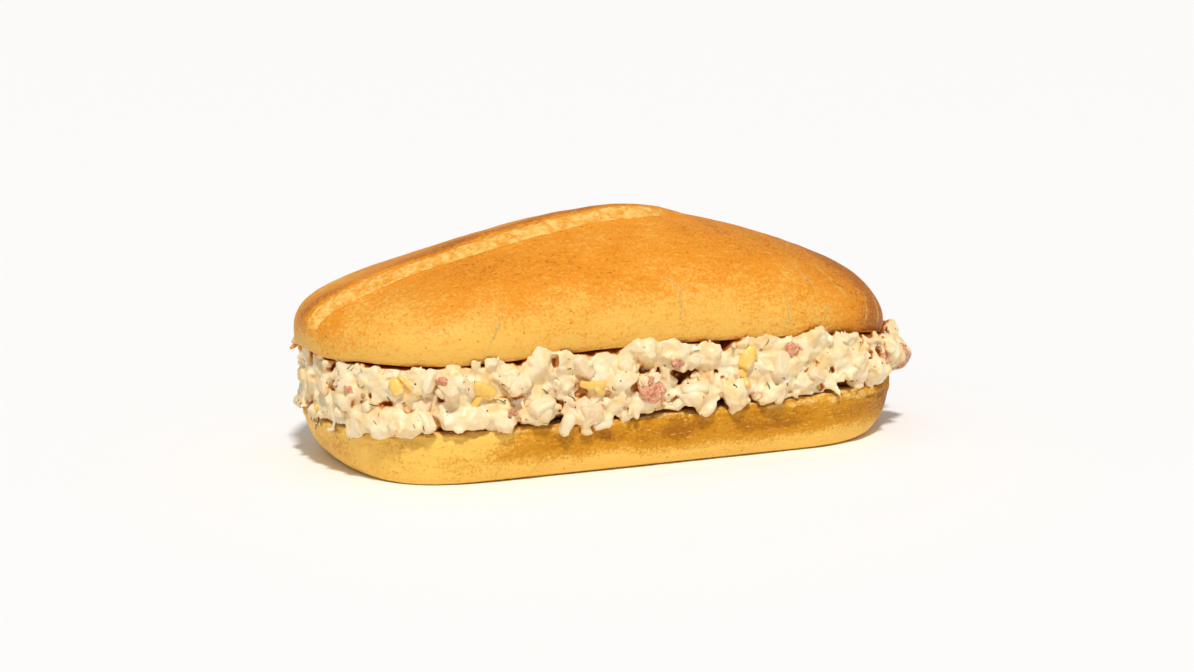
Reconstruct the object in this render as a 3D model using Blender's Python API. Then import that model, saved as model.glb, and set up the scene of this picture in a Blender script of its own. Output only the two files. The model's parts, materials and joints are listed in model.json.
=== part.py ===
"""Chicken salad sub: a soft sub roll split into a crown and a heel, with chicken salad between them.

Metres, +Z up. X runs along the roll, +Y to its back, and the heel's flat base stands on Z = 0.
The origin is the middle of the whole sandwich's box, at its base. Until the last step, the
pieces are built about the middle of the crown.
"""

import math
from collections import namedtuple

import bmesh
import bpy
from mathutils import Vector, noise

# A rounded outline seen from above: its reach to each side of the middle along X, its width,
# how far each end's round runs in along X, and the round's power (2 is an ellipse, more is squarer)
Plan = namedtuple("Plan", "left right width end_left end_right power")

CROWN = Plan(0.0857, 0.0857, 0.0790, 0.0375, 0.0510, 2.0)  # the roll's top half, at its widest
RIM = Plan(0.0828, 0.0850, 0.0775, 0.0400, 0.0340, 2.2)  # the cut face of the heel, the bottom half
BASE = Plan(0.0736, 0.0716, 0.0685, 0.0290, 0.0300, 3.2)  # the flat that the heel stands on
CUT_GAP = 0.0003  # clearance left between neighbouring pieces

# Each curve below gives heights at shares of the crown's half length, from -1 (left) to 1 (right)
HEEL_TOP = ((-1.0, 0.0146), (-0.5, 0.0150), (0.0, 0.0146), (0.5, 0.0156), (1.0, 0.0172))
CROWN_UNDERSIDE = (
    (-1.0, 0.0317),
    (-0.5, 0.0327),
    (0.0, 0.0337),
    (0.5, 0.0323),
    (0.8, 0.0290),
    (1.0, 0.0245),
)
# The ridge's height above the crown's widest line, before its nose rounds it off at each end
RIDGE = (
    (-1.00, 0.0098),
    (-0.80, 0.0132),
    (-0.50, 0.0193),
    (-0.20, 0.0239),
    (0.10, 0.0261),
    (0.40, 0.0222),
    (0.65, 0.0170),
    (0.85, 0.0128),
    (1.00, 0.0090),
)
NOSE_POWER = 14.0  # how bluntly the ridge ends
CROWN_TUCK = 0.0016  # the crown's side pulls in by this much from its widest line to its cut face
CROWN_TUCK_HEIGHT = 0.0045
HEEL_ROUND_SHARE = 0.88  # the share of the heel's height that its round lower edge takes
BOW_POWER = 1.5  # the heel's left end slopes in more straightly than a quarter circle
RIM_ROUND = 0.0008

# The scored band that opened along the crown's ridge in the oven
SCORE_WIDTH = 0.0070
SCORE_DEPTH = 0.0012
SCORE_MIDDLE = ((-1.0, -0.0035), (-0.3, -0.0050), (0.3, -0.0030), (1.0, 0.0030))  # Y along X
SCORE_FADE = 0.012  # the band runs out over this length at each end

# The chicken salad
BULGE_SIDE = 0.0024  # how far it stands out past the cut faces, at the sides and at each end
BULGE_LEFT = 0.0001
BULGE_RIGHT = 0.0062  # it spills out here
LUMP_SIZE = 0.0085
LUMP_DEPTH = 0.0026
DRIP = 0.0026  # how far it hangs down over the heel's rim
COVER = 0.0010  # how far in from the rim its flat faces start

CROWN_STATIONS = 44
CROWN_ARCH_POINTS = 38
CROWN_TUCK_POINTS = 4
HEEL_STATIONS = 80
HEEL_ROUND_STEPS = 7
SALAD_STATIONS = 136
SALAD_ROWS = 7

CRUST_COLOUR = (0.78, 0.40, 0.10, 1.0)
SALAD_COLOUR = (0.83, 0.70, 0.47, 1.0)


def clear_scene():
    for obj in list(bpy.data.objects):
        bpy.data.objects.remove(obj)


def food_material(name, colour, roughness):
    material = bpy.data.materials.new(name)
    material.use_nodes = True
    shader = material.node_tree.nodes["Principled BSDF"]
    shader.inputs["Base Color"].default_value = colour
    shader.inputs["Roughness"].default_value = roughness
    shader.inputs["Metallic"].default_value = 0.0
    return material


def new_object(name, builder, material):
    """Make one named object from a bmesh, with outward faces and smooth shading."""
    bmesh.ops.recalc_face_normals(builder, faces=builder.faces)
    mesh = bpy.data.meshes.new(name)
    builder.to_mesh(mesh)
    builder.free()
    mesh.shade_smooth()
    mesh.set_sharp_from_angle(angle=math.radians(50))
    mesh.materials.append(material)
    obj = bpy.data.objects.new(name, mesh)
    bpy.context.scene.collection.objects.link(obj)
    return obj


def smoothstep(low, high, value):
    t = min(1.0, max(0.0, (value - low) / (high - low)))
    return t * t * (3 - 2 * t)


def curve_slope(points, i):
    """Slope of a curve at its point i, from that point's neighbours."""
    before, after = points[max(i - 1, 0)], points[min(i + 1, len(points) - 1)]
    return (after[1] - before[1]) / (after[0] - before[0])


def curve_at(points, x):
    """Height at x on a smooth curve through the points. x is a place along the crown."""
    share = min(1.0, max(-1.0, x / CROWN.right))
    i = 0
    while share > points[i + 1][0]:
        i += 1
    (x0, z0), (x1, z1) = points[i], points[i + 1]
    span = x1 - x0
    t = (share - x0) / span
    from_start = (2 * t**3 - 3 * t**2 + 1) * z0 + (t**3 - 2 * t**2 + t) * span * curve_slope(points, i)
    from_end = (3 * t**2 - 2 * t**3) * z1 + (t**3 - t**2) * span * curve_slope(points, i + 1)
    return from_start + from_end


def half_width(plan, x):
    """A plan's half width at x: straight sides and rounded ends."""
    reach, end = (plan.left, plan.end_left) if x < 0 else (plan.right, plan.end_right)
    t = min(1.0, max(0.0, (abs(x) - reach + end) / end))
    return plan.width / 2 * (1 - t**plan.power) ** (1 / plan.power)


def outline(plan, count):
    """Points round a plan, evenly spaced, from its right tip by its back to its left tip."""
    fine = 3000
    points = []
    for i in range(fine):
        turn = 2 * math.pi * i / fine
        x = math.cos(turn) * (plan.left if math.cos(turn) < 0 else plan.right)
        points.append(Vector((x, math.copysign(half_width(plan, x), math.sin(turn)))))
    lengths = [0.0]
    for i in range(fine):
        lengths.append(lengths[-1] + (points[(i + 1) % fine] - points[i]).length)
    found = []
    j = 0
    for i in range(count):
        wanted = lengths[-1] * i / count
        while lengths[j + 1] < wanted:
            j += 1
        t = (wanted - lengths[j]) / (lengths[j + 1] - lengths[j])
        found.append(points[j].lerp(points[(j + 1) % fine], t))
    return found


def outward(points):
    """The outward direction at each point of an outline."""
    found = []
    for i in range(len(points)):
        along = (points[(i + 1) % len(points)] - points[i - 1]).normalized()
        found.append(Vector((along.y, -along.x)))
    return found


def close_across(builder, loop):
    """Close a loop with strips that run across the roll, so that the face follows its slope."""
    count = len(loop)
    for k in range(count // 2):
        corners = [loop[k], loop[k + 1], loop[count - k - 1], loop[-k]]
        builder.faces.new(list(dict.fromkeys(corners)))


def stack(contours, name, material):
    """Join closed contours from bottom to top, and close the first and the last."""
    builder = bmesh.new()
    loops = [[builder.verts.new(p) for p in contour] for contour in contours]
    count = len(loops[0])
    for lower, upper in zip(loops, loops[1:]):
        for k in range(count):
            n = (k + 1) % count
            builder.faces.new((lower[k], lower[n], upper[n], upper[k]))
    close_across(builder, loops[0])
    close_across(builder, loops[-1])
    return new_object(name, builder, material)


def score_dip(x, y):
    """Depth of the scored band below the crown's dome."""
    across = (y - curve_at(SCORE_MIDDLE, x)) / (SCORE_WIDTH / 2)
    inside = 1 - smoothstep(0.55, 1.0, abs(across))
    fade = smoothstep(0.0, SCORE_FADE, CROWN.right - abs(x))
    return SCORE_DEPTH * inside * fade


def crown_ring(x):
    """One closed cross-section of the crown: front tuck, arch, back tuck and the flat cut face."""
    into_tip = min(1.0, max(0.0, 1 - (CROWN.right - abs(x)) / CROWN_TUCK))
    tuck_height = CROWN_TUCK_HEIGHT * math.sqrt(1 - into_tip * into_tip)
    widest = curve_at(CROWN_UNDERSIDE, x) + CROWN_TUCK_HEIGHT
    nose = (1 - abs(x / CROWN.right) ** NOSE_POWER) ** 0.45
    height = curve_at(RIDGE, x) * nose
    half = half_width(CROWN, x)
    tuck = min(CROWN_TUCK, 0.5 * half)
    side = []
    for i in range(CROWN_TUCK_POINTS):  # from the cut face up to the widest line
        turn = math.pi / 2 * (1 - i / CROWN_TUCK_POINTS)
        side.append((half - tuck * (1 - math.cos(turn)), widest - tuck_height * math.sin(turn)))
    arch = []
    for i in range(CROWN_ARCH_POINTS + 1):
        turn = math.pi * i / CROWN_ARCH_POINTS
        y = -half * math.cos(turn)
        arch.append((y, widest + (height - score_dip(x, y)) * math.sin(turn)))
    front = [(-y, z) for y, z in side]
    return [Vector((x, y, z)) for y, z in front + arch + side[::-1]]


def build_crown(material):
    """Rings across the crown's length, closed by one point at each tip."""
    builder = bmesh.new()
    rings = []
    for i in range(1, CROWN_STATIONS):
        x = -CROWN.right * math.cos(math.pi * i / CROWN_STATIONS)
        rings.append([builder.verts.new(p) for p in crown_ring(x)])
    count = len(rings[0])
    for ring, after in zip(rings, rings[1:]):
        for k in range(count):
            n = (k + 1) % count
            builder.faces.new((ring[k], ring[n], after[n], after[k]))
    for x, ring in ((-CROWN.left, rings[0]), (CROWN.right, rings[-1])):
        tip = builder.verts.new((x, 0.0, curve_at(CROWN_UNDERSIDE, x) + CROWN_TUCK_HEIGHT))
        for k in range(count):
            builder.faces.new((tip, ring[k], ring[(k + 1) % count]))
    return new_object("crown", builder, material)


def heel_round(x, turn):
    """The heel's lower edge at x: its share of the way out from base to rim, and of its height."""
    bow = smoothstep(BASE.end_left - BASE.left, -RIM.left, x)
    power = 2 + (BOW_POWER - 2) * bow if x < 0 else 2
    out = math.sin(turn) ** (2 / power)
    up = HEEL_ROUND_SHARE * (1 - max(0.0, math.cos(turn)) ** (2 / power))
    return out, up


def build_heel(material):
    """Contours from the flat base, up the round edge and the wall, to the rim of the cut face."""
    base = outline(BASE, HEEL_STATIONS)
    rim = outline(RIM, HEEL_STATIONS)
    contours = []
    for step in range(HEEL_ROUND_STEPS + 1):
        turn = math.pi / 2 * step / HEEL_ROUND_STEPS
        contour = []
        for low, high in zip(base, rim):
            out, up = heel_round(high.x, turn)
            spot = low.lerp(high, out)
            contour.append((*spot, curve_at(HEEL_TOP, spot.x) * up))
        contours.append(contour)
    for inset in (0.0, RIM_ROUND):
        contour = []
        for place, direction in zip(rim, outward(rim)):
            spot = place - direction * inset
            contour.append((*spot, curve_at(HEEL_TOP, spot.x) - (RIM_ROUND - inset)))
        contours.append(contour)
    return stack(contours, "heel", material)


def lump(place, height):
    """0 to 1: rounded lumps with creases between them."""
    distances, _ = noise.voronoi(Vector((place.x, place.y, height * 1.2)) / LUMP_SIZE)
    return math.sqrt(max(0.0, 1 - min(1.0, distances[0] * 1.15) ** 2))


def salad_bulge(direction):
    """How far the salad stands out past the cut faces, on a side facing that way."""
    end = BULGE_RIGHT if direction.x > 0 else BULGE_LEFT
    return BULGE_SIDE + (end - BULGE_SIDE) * direction.x**4


def hang(place):
    """How far the salad hangs over the heel's rim at a place on it."""
    return DRIP * (0.5 + 0.5 * noise.noise(Vector((place.x, place.y, 0.03)) / 0.009))


def build_salad(material):
    """Contours from the underside, round the lip over the heel's rim, up the lumpy side, to the top."""
    rim = outline(RIM, SALAD_STATIONS)
    facing = outward(rim)
    crown_inside = CROWN._replace(
        left=CROWN.left - CROWN_TUCK, right=CROWN.right - CROWN_TUCK, width=CROWN.width - 2 * CROWN_TUCK
    )
    cut = outline(crown_inside, SALAD_STATIONS)
    clear = CUT_GAP + 0.0002
    contours = []

    def add(offset, height, share=0.0):
        """One contour: a share of the way from the heel's rim to the crown's cut, plus an offset."""
        contour = []
        for i in range(SALAD_STATIONS):
            spot = rim[i].lerp(cut[i], share)
            spot = spot + facing[i] * offset(i)
            contour.append((*spot, height(i, spot.x)))
        contours.append(contour)

    def floor(i, x):
        return curve_at(HEEL_TOP, x) + CUT_GAP

    def roof(i, x):
        return curve_at(CROWN_UNDERSIDE, x) - CUT_GAP

    def lip(i, x):
        return floor(i, x) - CUT_GAP - hang(rim[i])

    add(lambda i: -RIM_ROUND - COVER, floor)
    add(lambda i: clear, floor)
    add(lambda i: clear, lip)
    add(lambda i: min(salad_bulge(facing[i]), clear + 0.5 * BULGE_SIDE), lip)
    for row in range(SALAD_ROWS):
        share = (row + 0.5) / SALAD_ROWS
        body = math.sin(math.pi * (0.12 + 0.76 * share)) ** 0.5

        def side(i):
            mound = lump(rim[i], 0.015 + 0.018 * share) - 0.55
            return salad_bulge(facing[i]) * body + LUMP_DEPTH * mound

        add(side, lambda i, x: floor(i, x) + share * (roof(i, x) - floor(i, x)), share)
    add(lambda i: CROWN_TUCK * 0.6, roof, 1.0)
    add(lambda i: -COVER, roof, 1.0)
    return stack(contours, "chicken_salad", material)


def centre_on_origin(pieces):
    """Move the whole sandwich so that its box is centred over the origin, standing on Z = 0."""
    corners = [v.co for obj in pieces for v in obj.data.vertices]
    middle_x = (min(c.x for c in corners) + max(c.x for c in corners)) / 2
    middle_y = (min(c.y for c in corners) + max(c.y for c in corners)) / 2
    for obj in pieces:
        obj.location = (-middle_x, -middle_y, 0.0)


clear_scene()
crust = food_material("baked_crust", CRUST_COLOUR, 0.55)
salad = food_material("chicken_salad", SALAD_COLOUR, 0.40)
sandwich = [build_heel(crust), build_salad(salad), build_crown(crust)]
centre_on_origin(sandwich)
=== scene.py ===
import json
import math
from itertools import product

import bmesh
import bpy
import numpy as np
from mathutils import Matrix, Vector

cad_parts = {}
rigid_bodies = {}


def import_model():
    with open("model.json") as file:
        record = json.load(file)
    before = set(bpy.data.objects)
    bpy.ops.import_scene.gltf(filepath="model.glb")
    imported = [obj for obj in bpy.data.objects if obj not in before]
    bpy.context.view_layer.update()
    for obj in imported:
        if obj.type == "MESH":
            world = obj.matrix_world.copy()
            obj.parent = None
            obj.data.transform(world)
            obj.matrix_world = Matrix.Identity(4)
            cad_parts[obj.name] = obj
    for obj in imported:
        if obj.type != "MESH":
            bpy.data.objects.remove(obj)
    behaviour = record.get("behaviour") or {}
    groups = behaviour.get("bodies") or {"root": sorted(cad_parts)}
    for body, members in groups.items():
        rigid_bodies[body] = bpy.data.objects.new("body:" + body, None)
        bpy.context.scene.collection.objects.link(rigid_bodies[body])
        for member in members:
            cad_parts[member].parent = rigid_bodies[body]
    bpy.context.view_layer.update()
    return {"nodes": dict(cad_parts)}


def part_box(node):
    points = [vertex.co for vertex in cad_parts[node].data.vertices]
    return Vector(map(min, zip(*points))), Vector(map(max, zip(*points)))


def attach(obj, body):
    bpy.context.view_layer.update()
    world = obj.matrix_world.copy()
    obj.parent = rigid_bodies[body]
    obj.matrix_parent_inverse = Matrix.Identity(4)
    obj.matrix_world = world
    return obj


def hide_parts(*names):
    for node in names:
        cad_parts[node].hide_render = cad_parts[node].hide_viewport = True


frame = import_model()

import openvdb
from mathutils import Vector
from mathutils.bvhtree import BVHTree

MM = 0.001

# ---------------------------------------------------------------------------------------------
# The table it stands on: a plain white floor under one large soft light from high on the left
# and an even white sky. The camera stands off the roll's left front corner, a little above it.

CAMERA_TURN = math.radians(24.0)  # towards -X from straight in front
CAMERA_RISE = math.radians(13.2)
CAMERA_DISTANCE = 1.0
CAMERA_LENS = 108.5
CAMERA_STAND = Vector((-2.8, 0.0, 0.0)) * MM  # the point the camera was levelled on
CAMERA_AIM = Vector((0.0, 5.9, 27.7)) * MM

FLOOR_COLOUR = (0.95, 0.95, 0.95, 1.0)
SKY_COLOUR = (1.0, 0.99, 0.975, 1.0)
SKY_STRENGTH = 0.40
LIGHT_TURN = math.radians(18.0)
LIGHT_RISE = math.radians(56.0)
LIGHT_SPREAD = math.radians(6.0)
LIGHT_STRENGTH = 2.5


def put_in_scene(name, data):
    """A new object in the scene, of that mesh, light or camera."""
    obj = bpy.data.objects.new(name, data)
    bpy.context.scene.collection.objects.link(obj)
    return obj


def towards(turn, rise):
    """The direction to a point seen at that turn to the left of the front, and that rise."""
    return Vector((-math.sin(turn) * math.cos(rise), -math.cos(turn) * math.cos(rise), math.sin(rise)))


def set_camera():
    data = bpy.data.cameras.new("camera")
    data.lens = CAMERA_LENS
    camera = put_in_scene("camera", data)
    camera.location = CAMERA_STAND + towards(CAMERA_TURN, CAMERA_RISE) * CAMERA_DISTANCE
    camera.rotation_euler = (CAMERA_AIM - camera.location).to_track_quat("-Z", "Y").to_euler()
    bpy.context.scene.camera = camera


def set_light():
    """One large soft light a long way off, so that it lights the whole floor evenly."""
    data = bpy.data.lights.new("key", "SUN")
    data.angle = LIGHT_SPREAD
    data.energy = LIGHT_STRENGTH
    data.color = SKY_COLOUR[:3]
    light = put_in_scene("key", data)
    light.rotation_euler = (-towards(LIGHT_TURN, LIGHT_RISE)).to_track_quat("-Z", "Y").to_euler()


def set_floor():
    mesh = bpy.data.meshes.new("floor")
    reach = 3.0
    corners = [(-reach, -reach, 0), (reach, -reach, 0), (reach, reach, 0), (-reach, reach, 0)]
    mesh.from_pydata(corners, [], [(0, 1, 2, 3)])
    floor = put_in_scene("floor", mesh)
    material = bpy.data.materials.new("white_table")
    material.use_nodes = True
    shader = material.node_tree.nodes["Principled BSDF"]
    shader.inputs["Base Color"].default_value = FLOOR_COLOUR
    shader.inputs["Roughness"].default_value = 0.8
    mesh.materials.append(material)


def set_sky():
    world = bpy.data.worlds.new("studio")
    world.use_nodes = True
    background = world.node_tree.nodes["Background"]
    background.inputs["Color"].default_value = SKY_COLOUR
    background.inputs["Strength"].default_value = SKY_STRENGTH
    bpy.context.scene.world = world


bpy.context.scene.view_settings.view_transform = "Standard"
set_camera()
set_floor()
set_sky()
set_light()

# ---------------------------------------------------------------------------------------------
# The heel: the bottom half of a soft sub roll. It was baked in a pan whose ribs left toasted
# patches along its side, and its lower edge is rounded. The split leaves a pale, torn rim.

BREAD_VOXEL = 0.65 * MM
BREAD_SMOOTHING = 24
NOISE_TABLE = 4096
NOISE_PRIMES = (73856093, 19349663, 83492791)

HEEL_PATCHES = (  # toasted patches along the front: x, height, half length, half height, strength
    (-62.0, 6.0, 9.0, 3.0, 0.30),
    (-44.0, 8.0, 6.0, 3.0, 0.35),
    (-31.0, 10.5, 4.0, 2.5, 0.45),
    (-16.5, 10.5, 5.5, 2.6, 0.75),
    (4.5, 10.0, 5.0, 2.8, 0.85),
    (24.0, 10.0, 6.0, 3.0, 0.75),
    (38.0, 9.5, 5.5, 2.8, 0.70),
    (56.0, 10.0, 5.0, 3.5, 0.50),
)


def soft_step(low, high, value):
    t = np.clip((value - low) / (high - low), 0.0, 1.0)
    return t * t * (3 - 2 * t)


def noise(points, size, seed):
    """-1 to 1 at each point, changing smoothly over lengths of about size."""
    table = np.random.default_rng(seed).uniform(-1, 1, NOISE_TABLE).astype(np.float32)
    scaled = points / size + 512.0
    cell = np.floor(scaled).astype(np.int64)
    t = (scaled - cell).astype(np.float32)
    t = t * t * (3 - 2 * t)
    total = np.zeros(len(points), np.float32)
    for corner in product((0, 1), repeat=3):
        key = (cell + corner) @ np.array(NOISE_PRIMES)
        weight = np.prod(np.where(corner, t, 1 - t), axis=1)
        total += weight * table[(key ^ (key >> 13)) & (NOISE_TABLE - 1)]
    return total


def read(items, attribute, width=3, kind=np.float32):
    """One attribute of every vertex, face or edge of a mesh, with a row for each."""
    values = np.empty(len(items) * width, kind)
    items.foreach_get(attribute, values)
    return values.reshape(-1, width) if width > 1 else values


def get_points(mesh):
    return read(mesh.vertices, "co")


def get_normals(mesh):
    return read(mesh.vertex_normals, "vector")


def set_points(mesh, points):
    mesh.vertices.foreach_set("co", points.astype(np.float32).ravel())
    mesh.update()


def set_mask(mesh, name, values):
    """Store a number from 0 to 1 for each point, for the material to read."""
    mask = mesh.attributes.new(name, "FLOAT", "POINT")
    mask.data.foreach_set("value", np.clip(values, 0, 1).astype(np.float32))


def to_mesh(obj, name):
    """A plain mesh object of what obj's modifiers make. obj is removed."""
    graph = bpy.context.evaluated_depsgraph_get()
    mesh = bpy.data.meshes.new_from_object(obj.evaluated_get(graph), depsgraph=graph)
    mesh.name = name
    bpy.data.objects.remove(obj)
    return put_in_scene(name, mesh)


def fine_copy(node, name):
    """A copy of a CAD node with its facets smoothed away, in small even faces."""
    copy = put_in_scene(name + "_rough", frame["nodes"][node].data.copy())
    builder = bmesh.new()
    builder.from_mesh(copy.data)
    bmesh.ops.remove_doubles(builder, verts=builder.verts, dist=0.01 * MM)
    builder.to_mesh(copy.data)
    builder.free()
    copy.data.materials.clear()
    remesh = copy.modifiers.new("voxels", "REMESH")
    remesh.mode = "VOXEL"
    remesh.voxel_size = BREAD_VOXEL
    smooth = copy.modifiers.new("smooth", "SMOOTH")
    smooth.factor = 0.5
    smooth.iterations = BREAD_SMOOTHING
    fine = to_mesh(copy, name)
    fine.data.shade_smooth()
    return fine


class Recipe:
    """The node tree of one material or one shader group, built a node at a time."""

    def __init__(self, tree):
        self.tree = tree

    def add(self, kind, settings=None, **inputs):
        """Add a node. A value that is a socket is linked, any other is set on the input."""
        node = self.tree.nodes.new(kind)
        for key, value in (settings or {}).items():
            setattr(node, key, value)
        for key, value in inputs.items():
            target = node.inputs[int(key[1:]) if key[0] == "i" and key[1:].isdigit() else key]
            self.put(target, value)
        return node

    def put(self, target, value):
        if isinstance(value, bpy.types.NodeSocket):
            self.tree.links.new(value, target)
        else:
            target.default_value = value

    def noise(self, place, scale, detail=3.0, roughness=0.55, distortion=0.0):
        node = self.add("ShaderNodeTexNoise", Vector=place, Scale=scale, Detail=detail)
        node.inputs["Roughness"].default_value = roughness
        node.inputs["Distortion"].default_value = distortion
        return node.outputs["Fac"]

    def place(self):
        return self.add("ShaderNodeTexCoord").outputs["Object"]

    def math(self, operation, a, b=0.0, clamp=False):
        settings = {"operation": operation, "use_clamp": clamp}
        return self.add("ShaderNodeMath", settings, i0=a, i1=b).outputs[0]

    def times(self, a, b):
        return self.math("MULTIPLY", a, b)

    def plus(self, total, *values):
        for value in values:
            total = self.math("ADD", total, value)
        return total

    def minus(self, a, b):
        return self.math("SUBTRACT", a, b)

    def ramp(self, value, low, high, to_low=0.0, to_high=1.0):
        node = self.add("ShaderNodeMapRange", {"interpolation_type": "SMOOTHSTEP"}, Value=value)
        for key, number in zip(("From Min", "From Max", "To Min", "To Max"), (low, high, to_low, to_high)):
            node.inputs[key].default_value = number
        return node.outputs["Result"]

    def mix(self, amount, a, b):
        node = self.add("ShaderNodeMix", {"data_type": "RGBA"})
        self.put(node.inputs["Factor"], amount)
        self.put(node.inputs[6], a)
        self.put(node.inputs[7], b)
        return node.outputs[2]

    def mask(self, name):
        return self.add("ShaderNodeAttribute", {"attribute_name": name}).outputs["Fac"]


def srgb(red, green, blue):
    """A linear colour from 0-255 sRGB values."""
    linear = []
    for value in (red, green, blue):
        value /= 255
        linear.append(value / 12.92 if value <= 0.04045 else ((value + 0.055) / 1.055) ** 2.4)
    return (*linear, 1.0)


def new_group(name, numbers, colours, outputs):
    """A shader group that takes numbers and colours. Its output Color is a colour, if it has one."""
    tree = bpy.data.node_groups.new(name, "ShaderNodeTree")
    number, colour = "NodeSocketFloat", "NodeSocketColor"
    for label in (*numbers, *colours):
        kind = colour if label in colours else number
        tree.interface.new_socket(label, in_out="INPUT", socket_type=kind)
    for label in outputs:
        kind = colour if label == "Color" else number
        tree.interface.new_socket(label, in_out="OUTPUT", socket_type=kind)
    make = Recipe(tree)
    return tree, make, make.add("NodeGroupInput").outputs, make.add("NodeGroupOutput").inputs


def new_material(name):
    """A material, the recipe of its node tree, and its shader."""
    material = bpy.data.materials.new(name)
    material.use_nodes = True
    return material, Recipe(material.node_tree), material.node_tree.nodes["Principled BSDF"]


def set_surface(make, shader, colour, roughness, relief, softness):
    """The shader's inputs. Relief is height, strength and depth, softness is share, bleed and reach."""
    bump = make.add("ShaderNodeBump", Height=relief[0], Strength=relief[1], Distance=relief[2])
    make.put(shader.inputs["Base Color"], colour)
    make.put(shader.inputs["Roughness"], roughness)
    make.put(shader.inputs["Normal"], bump.outputs["Normal"])
    for label, value in zip(("Weight", "Radius", "Scale"), softness):
        shader.inputs["Subsurface " + label].default_value = value


def crust_group():
    """Browning, speckle and relief of a soft baked crust, from how far each point was baked."""
    tree, make, given, out = new_group(
        "baked_crust", ("Bake", "Mottle"), ("Pale", "Golden", "Brown"), ("Color", "Height", "Roughness")
    )
    place = make.place()
    along = make.add("ShaderNodeMapping", Vector=place, Scale=(0.45, 1.0, 1.6)).outputs[0]
    streaks = make.noise(along, 260.0, 4.0, 0.6, 0.3)  # crust stretches along the roll
    dashes = make.noise(along, 620.0, 3.0, 0.65, 0.2)
    clouds = make.noise(place, 70.0, 3.0, 0.5)
    grain = make.noise(place, 1300.0, 2.0, 0.6)
    spread = make.plus(make.times(streaks, 0.3), make.times(clouds, 0.3), make.times(dashes, 0.45))
    spread = make.minus(make.plus(spread, make.times(grain, 0.85)), 0.95)
    bake = make.math("ADD", given["Bake"], make.times(spread, given["Mottle"]), clamp=True)
    light = make.mix(make.ramp(bake, 0.0, 0.5), given["Pale"], given["Golden"])
    colour = make.mix(make.ramp(bake, 0.5, 1.0), light, given["Brown"])
    pits = make.add("ShaderNodeTexVoronoi", Vector=place, Scale=520.0).outputs["Distance"]
    pitted = make.ramp(make.noise(place, 330.0, 1.0), 0.52, 0.60)
    pit = make.times(make.ramp(pits, 0.05, 0.22, 1.0, 0.0), pitted)
    colour = make.mix(make.times(pit, 0.55), colour, given["Brown"])
    blister = make.ramp(make.noise(along, 900.0, 2.0, 0.5), 0.60, 0.70)
    make.put(out["Color"], make.mix(make.times(blister, 0.45), colour, given["Pale"]))
    height = make.plus(make.times(dashes, 0.6), make.times(grain, 0.55), make.times(streaks, 0.5))
    height = make.plus(make.minus(height, make.times(pit, 0.6)), make.times(blister, 0.25))
    make.put(out["Height"], height)
    make.put(out["Roughness"], make.ramp(grain, 0.2, 0.8, 0.42, 0.62))
    return tree


def crumb_group():
    """The pale, open crumb of torn or cut bread."""
    tree, make, given, out = new_group("bread_crumb", (), ("Light", "Deep"), ("Color", "Height"))
    place = make.place()
    cells = make.add("ShaderNodeTexVoronoi", Vector=place, Scale=700.0, Randomness=1.0)
    cell = make.ramp(cells.outputs["Distance"], 0.1, 0.6)
    rough = make.noise(place, 420.0, 4.0, 0.65)
    make.put(out["Color"], make.mix(make.ramp(rough, 0.35, 0.65), given["Deep"], given["Light"]))
    make.put(out["Height"], make.plus(cell, rough))
    return tree


def crack_group():
    """A hairline split in the crust that wanders up the roll's side from one height to another."""
    tree, make, given, out = new_group(
        "crust_crack", ("Along", "Low", "High", "Lean", "Side"), (), ("Crack", "Frayed edge")
    )
    place = make.place()
    x, y, z = make.add("ShaderNodeSeparateXYZ", Vector=place).outputs
    middle = make.times(make.plus(given["Low"], given["High"]), 0.5)
    lean = make.times(make.minus(z, middle), given["Lean"])
    wander = make.times(make.minus(make.noise(place, 210.0, 5.0, 0.75), 0.5), 6.0 * MM)
    off = make.minus(make.minus(x, given["Along"]), make.plus(lean, wander))
    off = make.math("ABSOLUTE", off)
    on_side = make.math("GREATER_THAN", make.times(y, given["Side"]), 0.0)
    rise = make.math("DIVIDE", make.minus(z, given["Low"]), make.minus(given["High"], given["Low"]))
    strength = make.times(make.ramp(rise, 0.0, 0.25), make.ramp(rise, 0.6, 1.0, 1.0, 0.0))
    broken = make.ramp(make.noise(place, 420.0, 2.0), 0.36, 0.50)
    strength = make.times(make.times(strength, broken), on_side)
    for label, inner, outer in (("Crack", 0.04 * MM, 0.22 * MM), ("Frayed edge", 0.2 * MM, 0.75 * MM)):
        make.put(out[label], make.times(make.ramp(off, inner, outer, 1.0, 0.0), strength))
    return tree


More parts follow.
